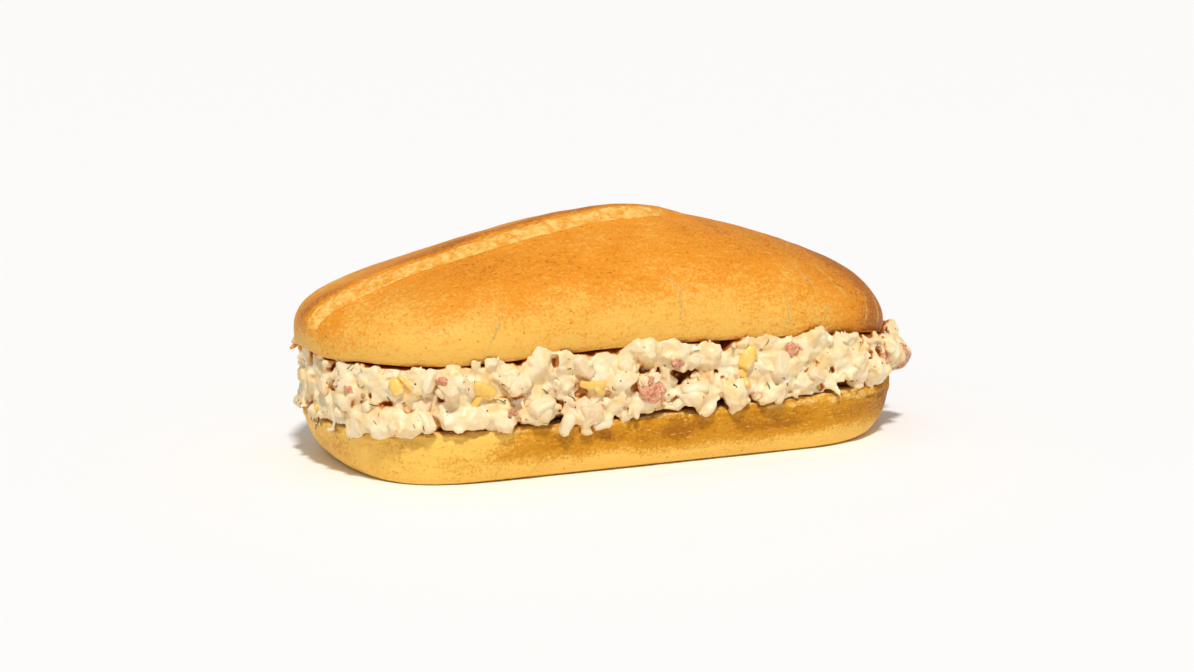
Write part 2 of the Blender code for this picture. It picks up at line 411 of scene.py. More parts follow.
def bread_material(name, crust, crumb, pale, golden, brown, torn, torn_deep, mottle, cracks=()):
    """Crust that browns with the mask "bake" and turns to torn crumb with the mask "crumb"."""
    material, make, shader = new_material(name)
    skin = make.add(
        "ShaderNodeGroup", {"node_tree": crust},
        Bake=make.mask("bake"), Pale=pale, Golden=golden, Brown=brown, Mottle=mottle,
    )
    inside = make.add("ShaderNodeGroup", {"node_tree": crumb}, Light=torn, Deep=torn_deep)
    edge = make.times(make.minus(make.noise(make.place(), 600.0, 3.0), 0.5), 0.9)
    open_crumb = make.ramp(make.plus(make.mask("crumb"), edge), 0.35, 0.60)
    colour = make.mix(open_crumb, skin.outputs["Color"], inside.outputs["Color"])
    height = make.add("ShaderNodeMix", {"data_type": "FLOAT"}, Factor=open_crumb)
    make.put(height.inputs[2], skin.outputs["Height"])
    make.put(height.inputs[3], inside.outputs["Height"])
    height = height.outputs[0]
    for along, low, high, lean, side in cracks:
        crack = make.add(
            "ShaderNodeGroup", {"node_tree": CRACK},
            Along=along * MM, Low=low * MM, High=high * MM, Lean=lean, Side=side,
        )
        frayed, core = crack.outputs["Frayed edge"], crack.outputs["Crack"]
        colour = make.mix(make.times(frayed, 0.75), colour, torn)
        colour = make.mix(make.times(core, 0.30), colour, brown)
        height = make.minus(make.plus(height, make.times(frayed, 0.5)), core)
    shader.inputs["Specular IOR Level"].default_value = 0.18
    set_surface(
        make, shader, colour, skin.outputs["Roughness"],
        (height, 0.7, 0.4 * MM), (0.10, (1.0, 0.45, 0.15), 1.0 * MM),
    )
    return material


def patch(points, x, z, half_length, half_height):
    """1 at the middle of a soft-edged patch on the roll's side, 0 away from it."""
    along, up = (points[:, 0] / MM - x) / half_length, (points[:, 2] / MM - z) / half_height
    return np.exp(-(along**2 + up**2))


def make_heel(crust, crumb):
    heel = fine_copy("heel", "heel_bread")
    mesh = heel.data
    points, normals = get_points(mesh), get_normals(mesh)
    x, _, z = points.T / MM
    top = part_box("heel")[1].z / MM
    side = soft_step(0.75, 0.35, np.abs(normals[:, 2]))
    lift = 0.40 * noise(points, 22 * MM, 11) + 0.26 * noise(points, 8 * MM, 12)
    lift += 0.14 * noise(points, 3 * MM, 13)
    drawn_out = points * np.array((0.35, 0.35, 1.0))  # so that the folds run along the rim
    folds = np.abs(noise(drawn_out, 1.6 * MM, 17))
    near_rim = soft_step(top - 6.5, top - 4.0, z) * side
    lift += near_rim * (0.45 - 1.1 * folds)
    browned = np.zeros(len(points), np.float32)
    warped = points + 1.8 * MM * noise(points, 5 * MM, 16)[:, None]
    for side_y in (-1, 1):
        here = side * soft_step(-0.1, 0.1, normals[:, 1] * side_y)
        for px, pz, half_length, half_height, strength in HEEL_PATCHES:
            browned += strength * patch(warped, px * -side_y, pz, half_length, half_height) * here
    lift -= 0.5 * browned
    chipped = soft_step(0.45, 0.75, noise(points, 4 * MM, 18)) * soft_step(4.5, 1.5, z)
    lift -= 0.5 * chipped
    stand = soft_step(0.0, 2.5, z)  # the base stays flat on the table
    points += normals * (lift * stand * MM)[:, None]
    set_points(mesh, points)
    # Paler towards the left end and towards the base. On the left end the paleness is partly the crust's own
    # colour and partly painted light, standing in for light falling on that end.
    bake = 0.02 + 0.62 * soft_step(-62, -28, x) * soft_step(2.0, 9.0, z)
    bake += 0.10 * noise(points, 18 * MM, 14) + 0.10 * noise(points, 6 * MM, 15)
    bake += 0.44 * browned
    bake += 0.30 * soft_step(-78, -86, x) * soft_step(14, 5, z) + 0.20 * soft_step(60, 80, x)
    bake -= 0.25 * near_rim * soft_step(0.25, 0.0, folds)
    cut = soft_step(0.55, 0.9, normals[:, 2]) * soft_step(0.6 * top, 0.75 * top, z)
    frayed = soft_step(-0.3, 0.3, noise(points, 9 * MM, 19))
    rim_crumb = near_rim * soft_step(top - 5.0, top - 3.4, z) * frayed
    set_mask(mesh, "bake", bake)
    set_mask(mesh, "crumb", np.maximum(cut, 0.5 * rim_crumb))
    mesh.materials.append(
        bread_material(
            "heel_crust", crust, crumb,
            # the pale colour is brighter than the crust's own: on the left end this is painted light
            pale=srgb(250, 200, 94), golden=srgb(210, 144, 26), brown=srgb(170, 106, 8),
            torn=srgb(240, 206, 126), torn_deep=srgb(218, 160, 62), mottle=1.0,
        )
    )
    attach(heel, "root")
    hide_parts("heel")


crust = crust_group()
crumb = crumb_group()
CRACK = crack_group()
make_heel(crust, crumb)

# ---------------------------------------------------------------------------------------------
# The crown: the top half of the roll. A blade scored it along its ridge before it was baked, and
# the score opened into a pale torn band with a thin lip on its front side. The crust is golden on
# top, browner at the ends, and pale where it was shaded near the split.

SCORE_X = (-88.0, -80.0, -66.0, -40.0, -16.0, 3.0, 22.0, 60.0, 84.0)  # places along the roll
SCORE_LIP_Y = (-7.0, -10.0, -9.4, -10.2, -10.8, -10.6, -6.0, 0.0, 3.0)  # its front edge there
SCORE_SPAN = (4.0, 7.5, 8.6, 9.2, 9.2, 8.6, 5.0, 4.0, 3.0)  # from the front lip to the back flap
SCORE_END = (6.0, 30.0)  # where the score fades out
SCORE_SUNK = 1.1  # depth of the plain trough along the CAD crown
SCORE_SUNK_Y = (-3.5, -5.0, -3.0, 3.0)  # its middle at the four shares of the length below
SCORE_SUNK_X = (-88.0, -30.0, 24.0, 83.0)

CROWN_EDGE_X = (-88.0, -45.0, -3.0, 40.0, 66.0, 83.0)
CROWN_EDGE_Z = (31.7, 32.7, 33.7, 32.3, 29.0, 24.5)

CROWN_CRACKS = (  # middle, lowest and highest point, lean along the roll, side (-1 is the front)
    (-48.0, 36.0, 48.0, 0.65, -1),
    (4.8, 38.5, 50.0, 0.15, -1),
    (3.2, 47.0, 52.0, -0.5, -1),
    (36.4, 33.0, 46.0, 0.10, -1),
    (49.2, 35.0, 41.0, 0.4, -1),
    (46.0, 43.0, 52.0, -0.55, -1),
    (56.0, 40.0, 49.0, -0.7, -1),
    (66.5, 31.0, 41.0, 0.35, -1),
    (73.0, 28.0, 39.0, 0.1, -1),
    (-22.0, 36.0, 46.0, 0.3, 1),
    (31.0, 35.0, 47.0, -0.2, 1),
    (-60.0, 36.0, 45.0, -0.4, 1),
)


def make_crown(crust, crumb):
    crown = fine_copy("crown", "crown_bread")
    mesh = crown.data
    points, normals = get_points(mesh), get_normals(mesh)
    x, y, z = points.T / MM
    lift = 0.50 * noise(points, 26 * MM, 21) + 0.24 * noise(points, 10 * MM, 22)
    lift += 0.08 * noise(points, 3.5 * MM, 23)
    up = soft_step(0.1, 0.5, normals[:, 2])
    wobble = 0.5 * noise(points, 7 * MM, 24) + 0.25 * noise(points, 2.4 * MM, 25)
    into = y - np.interp(x, SCORE_X, SCORE_LIP_Y) + wobble
    span = np.interp(x, SCORE_X, SCORE_SPAN) + 0.8 * noise(points, 9 * MM, 20)
    opened = soft_step(SCORE_END[1], SCORE_END[0], x) * up
    band = soft_step(0.0, 0.9, into) * (1 - soft_step(0.80, 1.0, into / span)) * opened
    trough = np.exp(-(((y - np.interp(x, SCORE_SUNK_X, SCORE_SUNK_Y)) / 2.7) ** 2))
    lift += SCORE_SUNK * trough * up * soft_step(86, 76, np.abs(x))
    lift += 0.45 * opened * np.exp(-(((into + 0.9) / 1.0) ** 2))  # the front lip
    lift -= 1.0 * opened * np.exp(-(((into - 1.1) / 0.9) ** 2))  # the gutter behind it
    flap = soft_step(1.5, span, into) * (1 - soft_step(span + 1.5, span + 11, into))
    lift += 1.0 * opened * flap
    lift += 0.35 * opened * np.exp(-(((into - span - 0.6) / 1.1) ** 2))  # the back flap's edge
    lift += band * (0.40 * noise(points, 1.6 * MM, 26) + 0.30 * noise(points, 3.2 * MM, 27))
    points += normals * (lift * MM)[:, None]
    set_points(mesh, points)
    above = z - np.interp(x, CROWN_EDGE_X, CROWN_EDGE_Z)
    bake = 0.02 + 0.50 * soft_step(5, 24, above)
    bake += 0.14 * soft_step(5, 45, x) + 0.95 * soft_step(44, 80, x) * soft_step(-8, 6, above)
    bake += 0.34 * soft_step(-70, -87, x) * soft_step(-4, 10, above)
    bake += 0.26 * opened * soft_step(span - 0.5, span + 1.0, into) * soft_step(span + 16, span + 4, into)
    bake += 0.12 * noise(points, 24 * MM, 28) + 0.10 * noise(points, 8 * MM, 29)
    underside = soft_step(-0.3, -0.8, normals[:, 2])
    set_mask(mesh, "bake", bake)
    fading = 1 - 0.45 * soft_step(-20, 22, x)  # the torn band is browner on top of the roll
    set_mask(mesh, "crumb", np.maximum(underside, band * fading))
    mesh.materials.append(
        bread_material(
            "crown_crust", crust, crumb,
            pale=srgb(238, 184, 84), golden=srgb(229, 143, 30), brown=srgb(178, 100, 2),
            torn=srgb(248, 204, 112), torn_deep=srgb(236, 156, 46), mottle=1.25,
            cracks=CROWN_CRACKS,
        )
    )
    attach(crown, "root")
    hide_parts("crown")


make_crown(crust, crumb)

# ---------------------------------------------------------------------------------------------
# The chicken salad: chopped chicken bound with a thick cream dressing. It is spooned on as a heap,
# and the crown presses it out into ragged lumps with deep creases and holes between them. Inside
# the sandwich is a plain core. The showing edge is two long pieces that meet near the ends.

SALAD_VOXEL = 0.40 * MM
SALAD_ADAPTIVITY = 0.015  # lets the hidden flat faces be large
CORE_VOXEL = 1.5 * MM
CORE_INSET = 6.0 * MM
EDGE_DEPTH = 9.0 * MM  # how far in from the edge of the roll the detailed pieces reach
SEAM_Y = 17.0 * MM  # where the front piece meets the back one, at both ends
BODY_INSET = 4.2 * MM
CROWN_TUCK = 1.6 * MM  # how far the crown's lower edge is rounded in
END_FLATNESS = 1.6 * MM  # how much less the heap spreads at the ends
HEAP_LOW, HEAP_HIGH = 9 * MM, 39 * MM  # the grid's lowest and highest height
FAR_OUTSIDE = 5 * MM
MIDDLE_LUMPS = 320  # the lumps that fill the band between the large ones
PEAKS = 520  # drawn-out peaks of dressing

SALAD_LUMPS = (  # the large lumps along the front: x, y, z, and half sizes along, out and up
    (-84.6, -3.0, 26.0, 6.0, 3.2, 6.0),
    (-84.2, -8.0, 18.5, 5.0, 3.6, 4.6),
    (-83.0, -17.5, 24.5, 5.5, 4.2, 5.6),
    (-74.5, -28.5, 27.0, 7.0, 3.6, 4.2),
    (-67.0, -33.5, 29.5, 5.0, 3.6, 3.4),
    (-59.0, -37.5, 27.0, 4.6, 4.5, 4.8),
    (-52.5, -38.5, 27.0, 3.4, 4.0, 4.4),
    (-44.0, -39.0, 28.0, 4.6, 4.0, 4.8),
    (-36.8, -38.0, 31.0, 4.8, 4.8, 5.4),
    (-29.5, -37.5, 32.5, 3.7, 4.0, 3.6),
    (-19.5, -38.0, 28.0, 6.5, 4.2, 5.4),
    (-12.0, -38.5, 26.0, 4.5, 4.6, 4.6),
    (-5.5, -37.5, 32.0, 5.0, 4.6, 4.0),
    (3.5, -38.0, 31.0, 4.7, 4.6, 4.6),
    (12.5, -38.5, 29.5, 4.6, 3.8, 4.8),
    (23.0, -38.0, 26.5, 4.2, 4.4, 5.2),
    (34.0, -38.5, 25.0, 6.5, 4.4, 6.0),
    (43.0, -37.0, 28.5, 4.8, 4.4, 4.4),
    (52.0, -36.5, 26.0, 5.6, 4.4, 4.6),
    (60.0, -36.0, 21.5, 4.4, 4.3, 4.0),
    (67.0, -33.5, 20.5, 4.6, 4.3, 4.0),
    (75.0, -27.0, 23.0, 5.0, 5.0, 5.4),
    (80.5, -20.0, 21.5, 4.5, 5.0, 4.6),
    (82.5, -10.0, 24.5, 5.0, 5.0, 4.4),
    (-85.0, -3.0, 15.6, 5.6, 2.6, 4.6),
    (-83.6, -12.5, 14.8, 4.6, 2.6, 4.4),
    (-80.8, -21.0, 15.4, 4.6, 2.8, 4.2),
    (-76.5, -28.5, 16.4, 4.6, 3.0, 4.0),
    (-70.5, -33.0, 17.5, 6.5, 3.3, 3.2),
    (-59.0, -38.0, 18.5, 5.6, 3.8, 4.2),
    (-48.5, -39.0, 18.5, 5.4, 4.0, 4.6),
    (-37.0, -39.5, 18.8, 6.5, 4.0, 4.4),
    (-23.0, -39.5, 16.2, 6.0, 3.8, 4.0),
    (-14.0, -39.5, 19.5, 4.5, 3.4, 3.6),
    (-6.0, -39.0, 19.0, 5.4, 3.6, 3.4),
    (8.0, -39.0, 19.5, 5.6, 3.6, 3.4),
    (21.0, -39.5, 18.5, 4.4, 3.6, 3.9),
    (31.0, -39.5, 18.5, 4.6, 3.8, 3.8),
    (44.0, -38.0, 20.0, 5.6, 3.8, 3.7),
)

SALAD_STREWN = (  # more lumps, on top and all over: count, and ranges of height, distance out,
    (170, (0.87, 0.98), (-2.8, -1.2), (2.0, 3.4), (0.7, 1.1), 1.2),  # size and stretch, and blend
    (420, (0.0, 1.0), (-2.8, 0.7), (0.8, 2.0), (0.6, 1.3), 0.8),
)

SALAD_GAPS = (  # dips under the crown's edge along the front: x, half length and depth
    (-69.0, 6.0, 1.1),
    (-53.0, 3.5, 1.2),
    (-43.0, 2.5, 1.1),
    (-24.0, 2.5, 2.0),
    (-16.5, 3.0, 2.6),
    (17.5, 2.6, 2.4),
)


def ray_tree(node):
    mesh = frame["nodes"][node].data
    return BVHTree.FromPolygons([v.co for v in mesh.vertices], [p.vertices for p in mesh.polygons])


def outline_of(node, height, count=720):
    """The outline of a CAD node at a height: points evenly spaced round it, from +X by +Y."""
    tree = ray_tree(node)
    low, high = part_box(node)
    middle = (low + high) / 2
    half = (high - low) / 2
    found = []
    for i in range(count):
        turn = 2 * math.pi * i / count
        way = Vector((math.cos(turn) * half.x, math.sin(turn) * half.y, 0)).normalized()
        z = height(middle.x + math.cos(turn) * half.x)
        hit = None
        while hit is None:
            hit = tree.ray_cast(Vector((middle.x, middle.y, z)) + way, -way)[0]
            z += 0.5 * MM
        found.append((hit.x, hit.y))
    points = np.array(found)
    steps = np.linalg.norm(np.roll(points, -1, 0) - points, axis=1)
    length = np.concatenate([[0], np.cumsum(steps)])
    wanted = np.linspace(0, length[-1], count, endpoint=False)
    closed = np.vstack([points, points[:1]])
    return np.stack([np.interp(wanted, length, closed[:, k]) for k in (0, 1)], axis=1)


def height_along(node, direction):
    """Heights of the heel's cut face (direction -1) or the crown's (1) along the roll's middle."""
    tree = ray_tree(node)
    low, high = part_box(node)
    xs = np.linspace(low.x + 2.5 * MM, high.x - 2.5 * MM, 60)
    start = 1.0 if direction < 0 else -1.0
    heights = [tree.ray_cast(Vector((x, 0.0, start)), Vector((0, 0, direction)))[0].z for x in xs]
    return xs, np.array(heights)


class Belt:
    """The band round the split, between the heel's rim and the crown's edge."""

    def __init__(self):
        self.floor_x, self.floor_z = height_along("heel", -1)
        self.roof_x, self.roof_z = height_along("crown", 1)
        rim = outline_of("heel", lambda x: 12.0 * MM)
        edge = outline_of("crown", lambda x: float(self.roof(x)) + 1.0 * MM)
        self.line = (rim + edge) / 2
        along = np.roll(self.line, -1, 0) - np.roll(self.line, 1, 0)
        along /= np.linalg.norm(along, axis=1)[:, None]
        self.out = np.stack([along[:, 1], -along[:, 0]], axis=1)

    def floor(self, x):
        return np.interp(x, self.floor_x, self.floor_z)

    def roof(self, x):
        return np.interp(x, self.roof_x, self.roof_z)

    def place(self, share, up, out):
        """A point at a share of the way round and up the band, and a distance out from it."""
        i = int(share * len(self.line)) % len(self.line)
        flatter = END_FLATNESS * abs(self.out[i][0]) ** 3
        x, y = self.line[i] + self.out[i] * (out - flatter)
        z = self.floor(x) + up * (self.roof(x) - self.floor(x))
        return np.array((x, y, z)), self.out[i]

    def nearest(self, x, y):
        return int(np.argmin(np.hypot(self.line[:, 0] - x, self.line[:, 1] - y)))

    def distance(self, x, y):
        """Distance outside the band's line, negative inside, at each point of a plan grid."""
        nearest = np.full(x.shape, 1.0, np.float32)
        for i in range(0, len(self.line), 2):
            dx, dy = x - self.line[i, 0], y - self.line[i, 1]
            gap = np.sqrt(dx * dx + dy * dy)
            side = np.sign(dx * self.out[i, 0] + dy * self.out[i, 1])
            closer = gap < np.abs(nearest)
            nearest[closer] = (gap * side)[closer]
        return nearest


class Clay:
    """A solid held as distances to its surface on a grid, negative inside."""

    def __init__(self, low, high, voxel):
        self.voxel = voxel
        self.axes = [np.arange(a, b, voxel, dtype=np.float32) for a, b in zip(low, high)]
        self.low = np.array(low, np.float32)
        self.field = np.full([len(a) for a in self.axes], FAR_OUTSIDE, np.float32)

    def window(self, middle, reach):
        first = np.maximum(((middle - reach - self.low) / self.voxel).astype(int), 0)
        last = ((middle + reach - self.low) / self.voxel).astype(int) + 1
        return tuple(slice(a, b) for a, b in zip(first, last))

    def join(self, box, gap, blend):
        """Join a shape on, filleted where it meets the rest."""
        part = self.field[box]
        share = np.clip(0.5 + 0.5 * (part - gap) / blend, 0, 1)
        part[...] = part * (1 - share) + gap * share - blend * share * (1 - share)

    def offsets(self, box, middle):
        pieces = [axis[s] - m for axis, s, m in zip(self.axes, box, middle)]
        return np.meshgrid(*pieces, indexing="ij", sparse=True)

    def add_lump(self, middle, half_sizes, turn, blend):
        box = self.window(middle, max(half_sizes) + 2 * blend)
        x, y, z = self.offsets(box, middle)
        reach = 0
        for row, half in zip(turn, half_sizes):
            reach = reach + ((x * row[0] + y * row[1] + z * row[2]) / half) ** 2
        self.join(box, (np.sqrt(reach) - 1) * min(half_sizes), blend)

    def add_spike(self, root, way, length, width, blend):
        """A drawn-out peak of dressing, from its root to a thin tip."""
        box = self.window(root + way * length / 2, length / 2 + width + blend)
        x, y, z = self.offsets(box, root)
        along = x * way[0] + y * way[1] + z * way[2]
        share = np.clip(along / length, 0, 1)
        dx, dy, dz = (v - way[k] * share * length for k, v in enumerate((x, y, z)))
        self.join(box, np.sqrt(dx * dx + dy * dy + dz * dz) - width * (1 - share) ** 1.3, blend)

    def points_near(self, reach):
        near = np.nonzero(np.abs(self.field) < reach)
        return near, np.stack([axis[i] for axis, i in zip(self.axes, near)], axis=1)

    def sample(self, points):
        """The distances at any points, from the eight grid points round each."""
        spot = (points - self.low) / self.voxel
        cell = np.floor(spot).astype(np.int32)
        t = spot - cell
        total = np.zeros(len(points), np.float32)
        for corner in product((0, 1), repeat=3):
            index = [np.clip(cell[:, k] + corner[k], 0, self.field.shape[k] - 1) for k in range(3)]
            total += np.prod(np.where(corner, t, 1 - t), axis=1) * self.field[tuple(index)]
        return total

    def to_object(self, name, keep):
        """A mesh of the surface inside the part of the grid for which keep is negative."""
        grid = openvdb.FloatGrid(background=FAR_OUTSIDE)
        grid.copyFromArray(np.maximum(self.field, keep))
        points, triangles, quads = grid.convertToPolygons(isovalue=0.0, adaptivity=SALAD_ADAPTIVITY)
        points = points * self.voxel + self.low
        mesh = bpy.data.meshes.new(name)
        mesh.from_pydata(points.tolist(), [], triangles.tolist() + quads.tolist())
        return put_in_scene(name, mesh)


def random_turn(rng):
    """A random rotation, as three rows."""
    q = rng.normal(size=4)
    w, x, y, z = q / np.linalg.norm(q)
    return np.array(
        [
            [1 - 2 * (y * y + z * z), 2 * (x * y - z * w), 2 * (x * z + y * w)],
            [2 * (x * y + z * w), 1 - 2 * (x * x + z * z), 2 * (y * z - x * w)],
            [2 * (x * z - y * w), 2 * (y * z + x * w), 1 - 2 * (x * x + y * y)],
        ]
    )


def facing_turn(out):
    """Rows along the roll's side, out from it and up."""
    return np.array([[-out[1], out[0], 0], [out[0], out[1], 0], [0, 0, 1]])


def box_blur(values, reach):
    """The mean of the values within reach cells each way along each axis."""
    for axis in range(3):
        width = [(0, 0)] * 3
        width[axis] = (reach + 1, reach)
        total = np.cumsum(np.pad(values, width, mode="edge"), axis=axis, dtype=np.float32)
        length = values.shape[axis]
        upper = [slice(None)] * 3
        lower = [slice(None)] * 3
        upper[axis] = slice(2 * reach + 1, 2 * reach + 1 + length)
        lower[axis] = slice(0, length)
        values = (total[tuple(upper)] - total[tuple(lower)]) / (2 * reach + 1)
    return values


def salad_clay(margin, voxel):
    low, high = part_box("chicken_salad")
    start = (low.x - margin, low.y - margin, HEAP_LOW)
    return Clay(start, (high.x + margin, high.y + margin, HEAP_HIGH), voxel)


def mould_salad(belt):
    """The showing edge of the salad, and how crowded each place in its grid is, from which the painted shade
    in its creases is set.
    """
    rng = np.random.default_rng(5)
    clay = salad_clay(4 * MM, SALAD_VOXEL)
    plan_x, plan_y = np.meshgrid(clay.axes[0], clay.axes[1], indexing="ij")
    flat = np.stack([plan_x.ravel(), plan_y.ravel(), 0 * plan_x.ravel()], axis=1)
    z = clay.axes[2][None, None, :]
    plan = belt.distance(plan_x, plan_y)[:, :, None]
    floor = belt.floor(clay.axes[0])[:, None, None].astype(np.float32) + 0.1 * MM
    roof = belt.roof(clay.axes[0])[:, None, None].astype(np.float32) - 0.1 * MM
    gap = 3.4 * noise(flat, 9 * MM, 36).reshape(plan_x.shape) - 0.9
    for x, half, depth in SALAD_GAPS:
        bump = depth * 1.4 * np.exp(-(((plan_x / MM - x) / half) ** 2)) - 0.4
        gap = np.where(plan_y < 0, np.maximum(np.minimum(gap, 0.3), bump), gap)
    gap = np.maximum(gap, 0)[:, :, None] * MM
    body = plan + BODY_INSET
    clay.field = np.minimum(clay.field, np.maximum(body, np.maximum(floor - z, z - roof)))
    for px, py, pz, along, out, up in SALAD_LUMPS:
        way = belt.out[belt.nearest(px * MM, py * MM)]
        middle = np.array((px, py, pz)) * MM
        middle[:2] -= way * out * 0.25 * MM
        half = np.array((along, out, up)) * MM * 0.92
        clay.add_lump(middle, half, facing_turn(way), 1.8 * MM)
    for _ in range(MIDDLE_LUMPS):
        share, up = rng.uniform(), rng.choice((0.2, 0.5, 0.8)) + rng.uniform(-0.12, 0.12)
        held = 0.5 < share  # the front is given lump by lump, so what is added stays behind it
        middle, way = belt.place(share, up, rng.uniform(-3.8, -1.4) * MM - (1.4 * MM if held else 0))
        half = rng.uniform(2.6, 4.8) * MM * rng.uniform(0.65, 1.1, 3)
        clay.add_lump(middle, half, random_turn(rng), 1.6 * MM)
    for count, up, out, size, stretch, blend in SALAD_STREWN:
        for _ in range(count):
            middle, way = belt.place(rng.uniform(), rng.uniform(*up), rng.uniform(*out) * MM)
            half = rng.uniform(*size) * MM * rng.uniform(*stretch, 3)
            clay.add_lump(middle, half, random_turn(rng), blend * MM)
    for _ in range(PEAKS):
        middle, way = belt.place(rng.uniform(), rng.uniform(0.0, 1.0), rng.uniform(-1.5, 0.6) * MM)
        aim = np.array((way[0], way[1], 0)) * rng.uniform(0.1, 1.0) + rng.normal(size=3) * 0.45
        aim[2] -= rng.uniform(0.0, 0.6)
        aim /= np.linalg.norm(aim)
        clay.add_spike(middle, aim, rng.uniform(1.8, 3.8) * MM, rng.uniform(0.6, 1.3) * MM, 0.9 * MM)
    near, points = clay.points_near(3.0 * MM)
    warp = np.stack([1.3 * noise(points, 5.0 * MM, 30 + k) for k in range(3)], axis=1)
    warp += np.stack([0.75 * noise(points, 2.2 * MM, 33 + k) for k in range(3)], axis=1)
    clay.field[near] = clay.sample(points + warp * MM)
    near, points = clay.points_near(1.6 * MM)
    ridges = 1 - np.abs(noise(points, 3.6 * MM, 37))
    fine_ridges = 1 - np.abs(noise(points, 1.7 * MM, 38))
    rough = 0.9 * (ridges - 0.6) + 0.5 * (fine_ridges - 0.6) + 0.16 * noise(points, 0.9 * MM, 39)
    clay.field[near] -= rough.astype(np.float32) * MM
    rise = 3.0 * MM * np.clip((plan + CROWN_TUCK) / CROWN_TUCK, 0, 1) ** 2
    inside_crown = np.maximum(plan + 0.1 * MM, roof + rise - z)
    clay.field = np.maximum(clay.field, -inside_crown)
    clay.field = np.maximum(clay.field, -np.maximum(plan + 0.8 * MM, z - floor))
    below = np.maximum(-plan - 7.0 * MM, roof - gap - z)  # negative in the dips below its edge
    clay.field = np.where(gap > 0, np.maximum(clay.field, -np.maximum(below, plan - 1.0 * MM)), clay.field)
    bread = (plan < 0) & ((z > roof) | (z < floor))
    solid = ((clay.field < 0) | bread).astype(np.float32)
    return clay, plan, box_blur(solid, 3), box_blur(solid, 8)


def look_up(clay, grid, points):
    cells = ((points - clay.low) / clay.voxel + 0.5).astype(int)
    for axis in range(3):
        cells[:, axis] = np.clip(cells[:, axis], 0, grid.shape[axis] - 1)
    return grid[tuple(cells.T)]


def sharpen_cut(mesh, y):
    """Mark the edges of a flat cut at y as sharp, so that the surface beside it shades evenly."""
    facing, height = read(mesh.polygons, "normal")[:, 1], read(mesh.polygons, "center")[:, 1]
    in_cut = (np.abs(facing) > 0.95) & (np.abs(height - y) < 0.4 * SALAD_VOXEL)
    sizes = read(mesh.polygons, "loop_total", 1, np.int32)
    edges = read(mesh.loops, "edge_index", 1, np.int32)
    flags = np.repeat(in_cut, sizes)
    cut_sides = np.bincount(edges[flags], minlength=len(mesh.edges))
    other_sides = np.bincount(edges[~flags], minlength=len(mesh.edges))
    sharp = mesh.attributes.new("sharp_edge", "BOOLEAN", "EDGE")
    sharp.data.foreach_set("value", (cut_sides > 0) & (other_sides > 0))


def goes_with_salad(piece):
    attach(piece, "root")
    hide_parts("chicken_salad")


def salad_piece(clay, plan, near_crowd, far_crowd, name, keep, material):
    piece = clay.to_object(name, keep)
    mesh = piece.data
    mesh.shade_smooth()
    sharpen_cut(mesh, SEAM_Y)
    normals, points = get_normals(mesh), get_points(mesh)
    # painted shade: the more crowded the space just outside a point, the more shade is painted into its
    # colour
    close = look_up(clay, near_crowd, points + normals * 1.0 * MM)
    deep = look_up(clay, far_crowd, points + normals * 2.4 * MM)
    crevice_shade = soft_step(0.36, 0.70, close) * 0.65 + soft_step(0.27, 0.58, deep) * 0.85
    set_mask(mesh, "crevice_shade", crevice_shade)
    set_mask(mesh, "open", (crevice_shade < 0.45) & (look_up(clay, plan, points) > -3.0 * MM))
    mesh.materials.append(material)
    goes_with_salad(piece)
    return piece


def salad_core(belt, material):
    clay = salad_clay(0, CORE_VOXEL)
    plan = belt.distance(*np.meshgrid(clay.axes[0], clay.axes[1], indexing="ij"))[:, :, None]
    z = clay.axes[2][None, None, :]
    floor = belt.floor(clay.axes[0])[:, None, None] + 0.3 * MM
    roof = belt.roof(clay.axes[0])[:, None, None] - 0.3 * MM
    clay.field = np.maximum(plan + CORE_INSET, np.maximum(floor - z, z - roof)).astype(np.float32)
    core = clay.to_object("salad_core", plan - 1)
    core.data.shade_smooth()
    # the hidden core gets a middling amount of painted shade
    set_mask(core.data, "crevice_shade", np.full(len(core.data.vertices), 0.5))
    core.data.materials.append(material)
    goes_with_salad(core)


def salad_material():
    """Cream dressing, stained pink and yellow, with painted shade that turns it orange-brown in the creases,
    and dark specks.
    """
    material, make, shader = new_material("creamy_chicken_salad")
    place, crevice_shade = make.place(), make.mask("crevice_shade")
    cream, butter = srgb(246, 227, 188), srgb(240, 208, 146)
    colour = make.mix(make.ramp(make.noise(place, 220.0, 3.0), 0.35, 0.7), cream, butter)
    pink = make.ramp(make.noise(place, 130.0, 2.0, 0.5, 0.4), 0.60, 0.76)
    colour = make.mix(make.times(pink, 0.45), colour, srgb(236, 186, 164))
    yellow = make.ramp(make.noise(place, 165.0, 2.0, 0.5, 0.6), 0.62, 0.74)
    colour = make.mix(make.times(yellow, 0.5), colour, srgb(246, 200, 112))
    # painted shade: orange-brown in the creases, dark brown in the deepest ones
    colour = make.mix(make.ramp(crevice_shade, 0.03, 0.5), colour, srgb(220, 152, 72))
    colour = make.mix(make.ramp(crevice_shade, 0.45, 0.95), colour, srgb(156, 78, 18))
    specks = make.add("ShaderNodeTexVoronoi", Vector=place, Scale=420.0).outputs
    speck = make.ramp(specks["Distance"], 0.06, 0.11, 1.0, 0.0)
    chance = make.add("ShaderNodeSeparateColor", Color=specks["Color"]).outputs[0]
    speck = make.times(make.times(speck, make.ramp(chance, 0.80, 0.82)), 0.75)
    colour = make.mix(speck, colour, srgb(110, 100, 62))
    rough = make.noise(place, 1500.0, 3.0, 0.6)
    set_surface(
        make, shader, colour, make.ramp(rough, 0.3, 0.7, 0.32, 0.55),
        (rough, 0.45, 0.25 * MM), (0.3, (1.0, 0.5, 0.2), 1.2 * MM),
    )
    return material


belt = Belt()
clay, plan, near_crowd, far_crowd = mould_salad(belt)
salad_look = salad_material()
inner = -plan - EDGE_DEPTH
past_seam = clay.axes[1][None, :, None] - SEAM_Y
salad_front, salad_back = (
    salad_piece(clay, plan, near_crowd, far_crowd, name, np.maximum(inner, past), salad_look)
    for name, past in (("salad_front", past_seam), ("salad_back", -past_seam))
)
salad_core(belt, salad_look)
